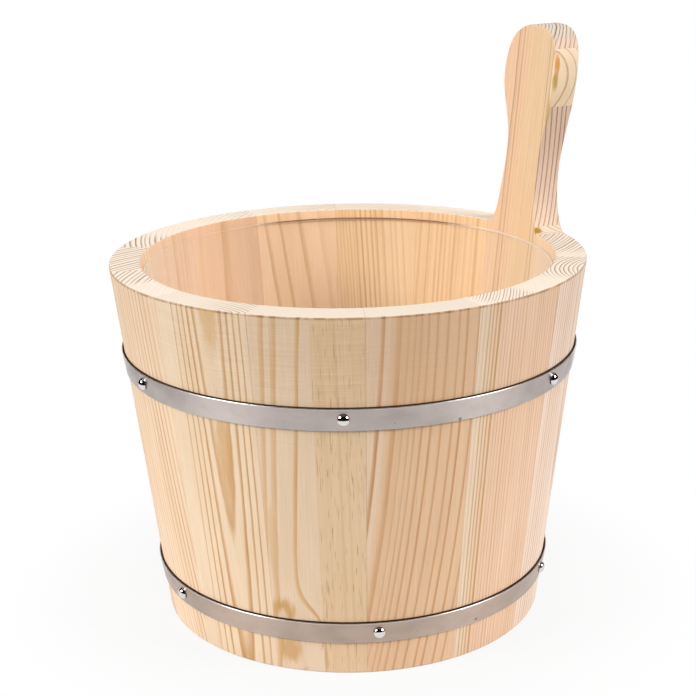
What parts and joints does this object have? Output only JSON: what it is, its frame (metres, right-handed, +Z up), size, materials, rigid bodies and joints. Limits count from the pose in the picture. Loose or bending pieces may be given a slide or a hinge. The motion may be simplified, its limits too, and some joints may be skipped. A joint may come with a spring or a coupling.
{
  "type": "sauna bucket",
  "caption": "Coopered pine bucket on a slight cone, with nailed steel hoops, one stave drawn out as a paddle-shaped handle, and a loose clear liner.",
  "frame": {"origin": "on the bucket's axis, at the floor it stands on", "axes": "+Z up along the bucket's axis, -Y to the front; the handle stands at the back, right of the middle"},
  "size_m": [0.2637, 0.2618, 0.3173],
  "materials": {
    "stave_pine": "planed and sanded, unlacquered",
    "bottom_pine": "planed, unlacquered",
    "hoop_steel": "satin stainless strip",
    "nail_steel": "polished dome heads",
    "liner_plastic": "clear, thin"
  },
  "bodies": {
    "pail": {"handle_stave": "stave_pine", "stave_01": "stave_pine", "stave_02": "stave_pine", "stave_03": "stave_pine", "stave_04": "stave_pine", "stave_05": "stave_pine", "stave_06": "stave_pine", "stave_07": "stave_pine", "stave_08": "stave_pine", "stave_09": "stave_pine", "stave_10": "stave_pine", "stave_11": "stave_pine", "stave_12": "stave_pine", "stave_13": "stave_pine", "bottom_board_1": "bottom_pine", "bottom_board_2": "bottom_pine", "bottom_board_3": "bottom_pine", "upper_hoop": "hoop_steel", "lower_hoop": "hoop_steel", "nail_upper_1": "nail_steel", "nail_upper_2": "nail_steel", "nail_upper_3": "nail_steel", "nail_upper_4": "nail_steel", "nail_upper_5": "nail_steel", "nail_upper_6": "nail_steel", "nail_lower_1": "nail_steel", "nail_lower_2": "nail_steel", "nail_lower_3": "nail_steel", "nail_lower_4": "nail_steel", "nail_lower_5": "nail_steel", "nail_lower_6": "nail_steel"},
    "liner": {"liner": "liner_plastic"}
  },
  "joints": [
    {"name": "liner_lift", "type": "slide", "parent": "pail", "child": "liner", "axis": [0, 0, 1], "range_m": [0, 0.3]}
  ]
}
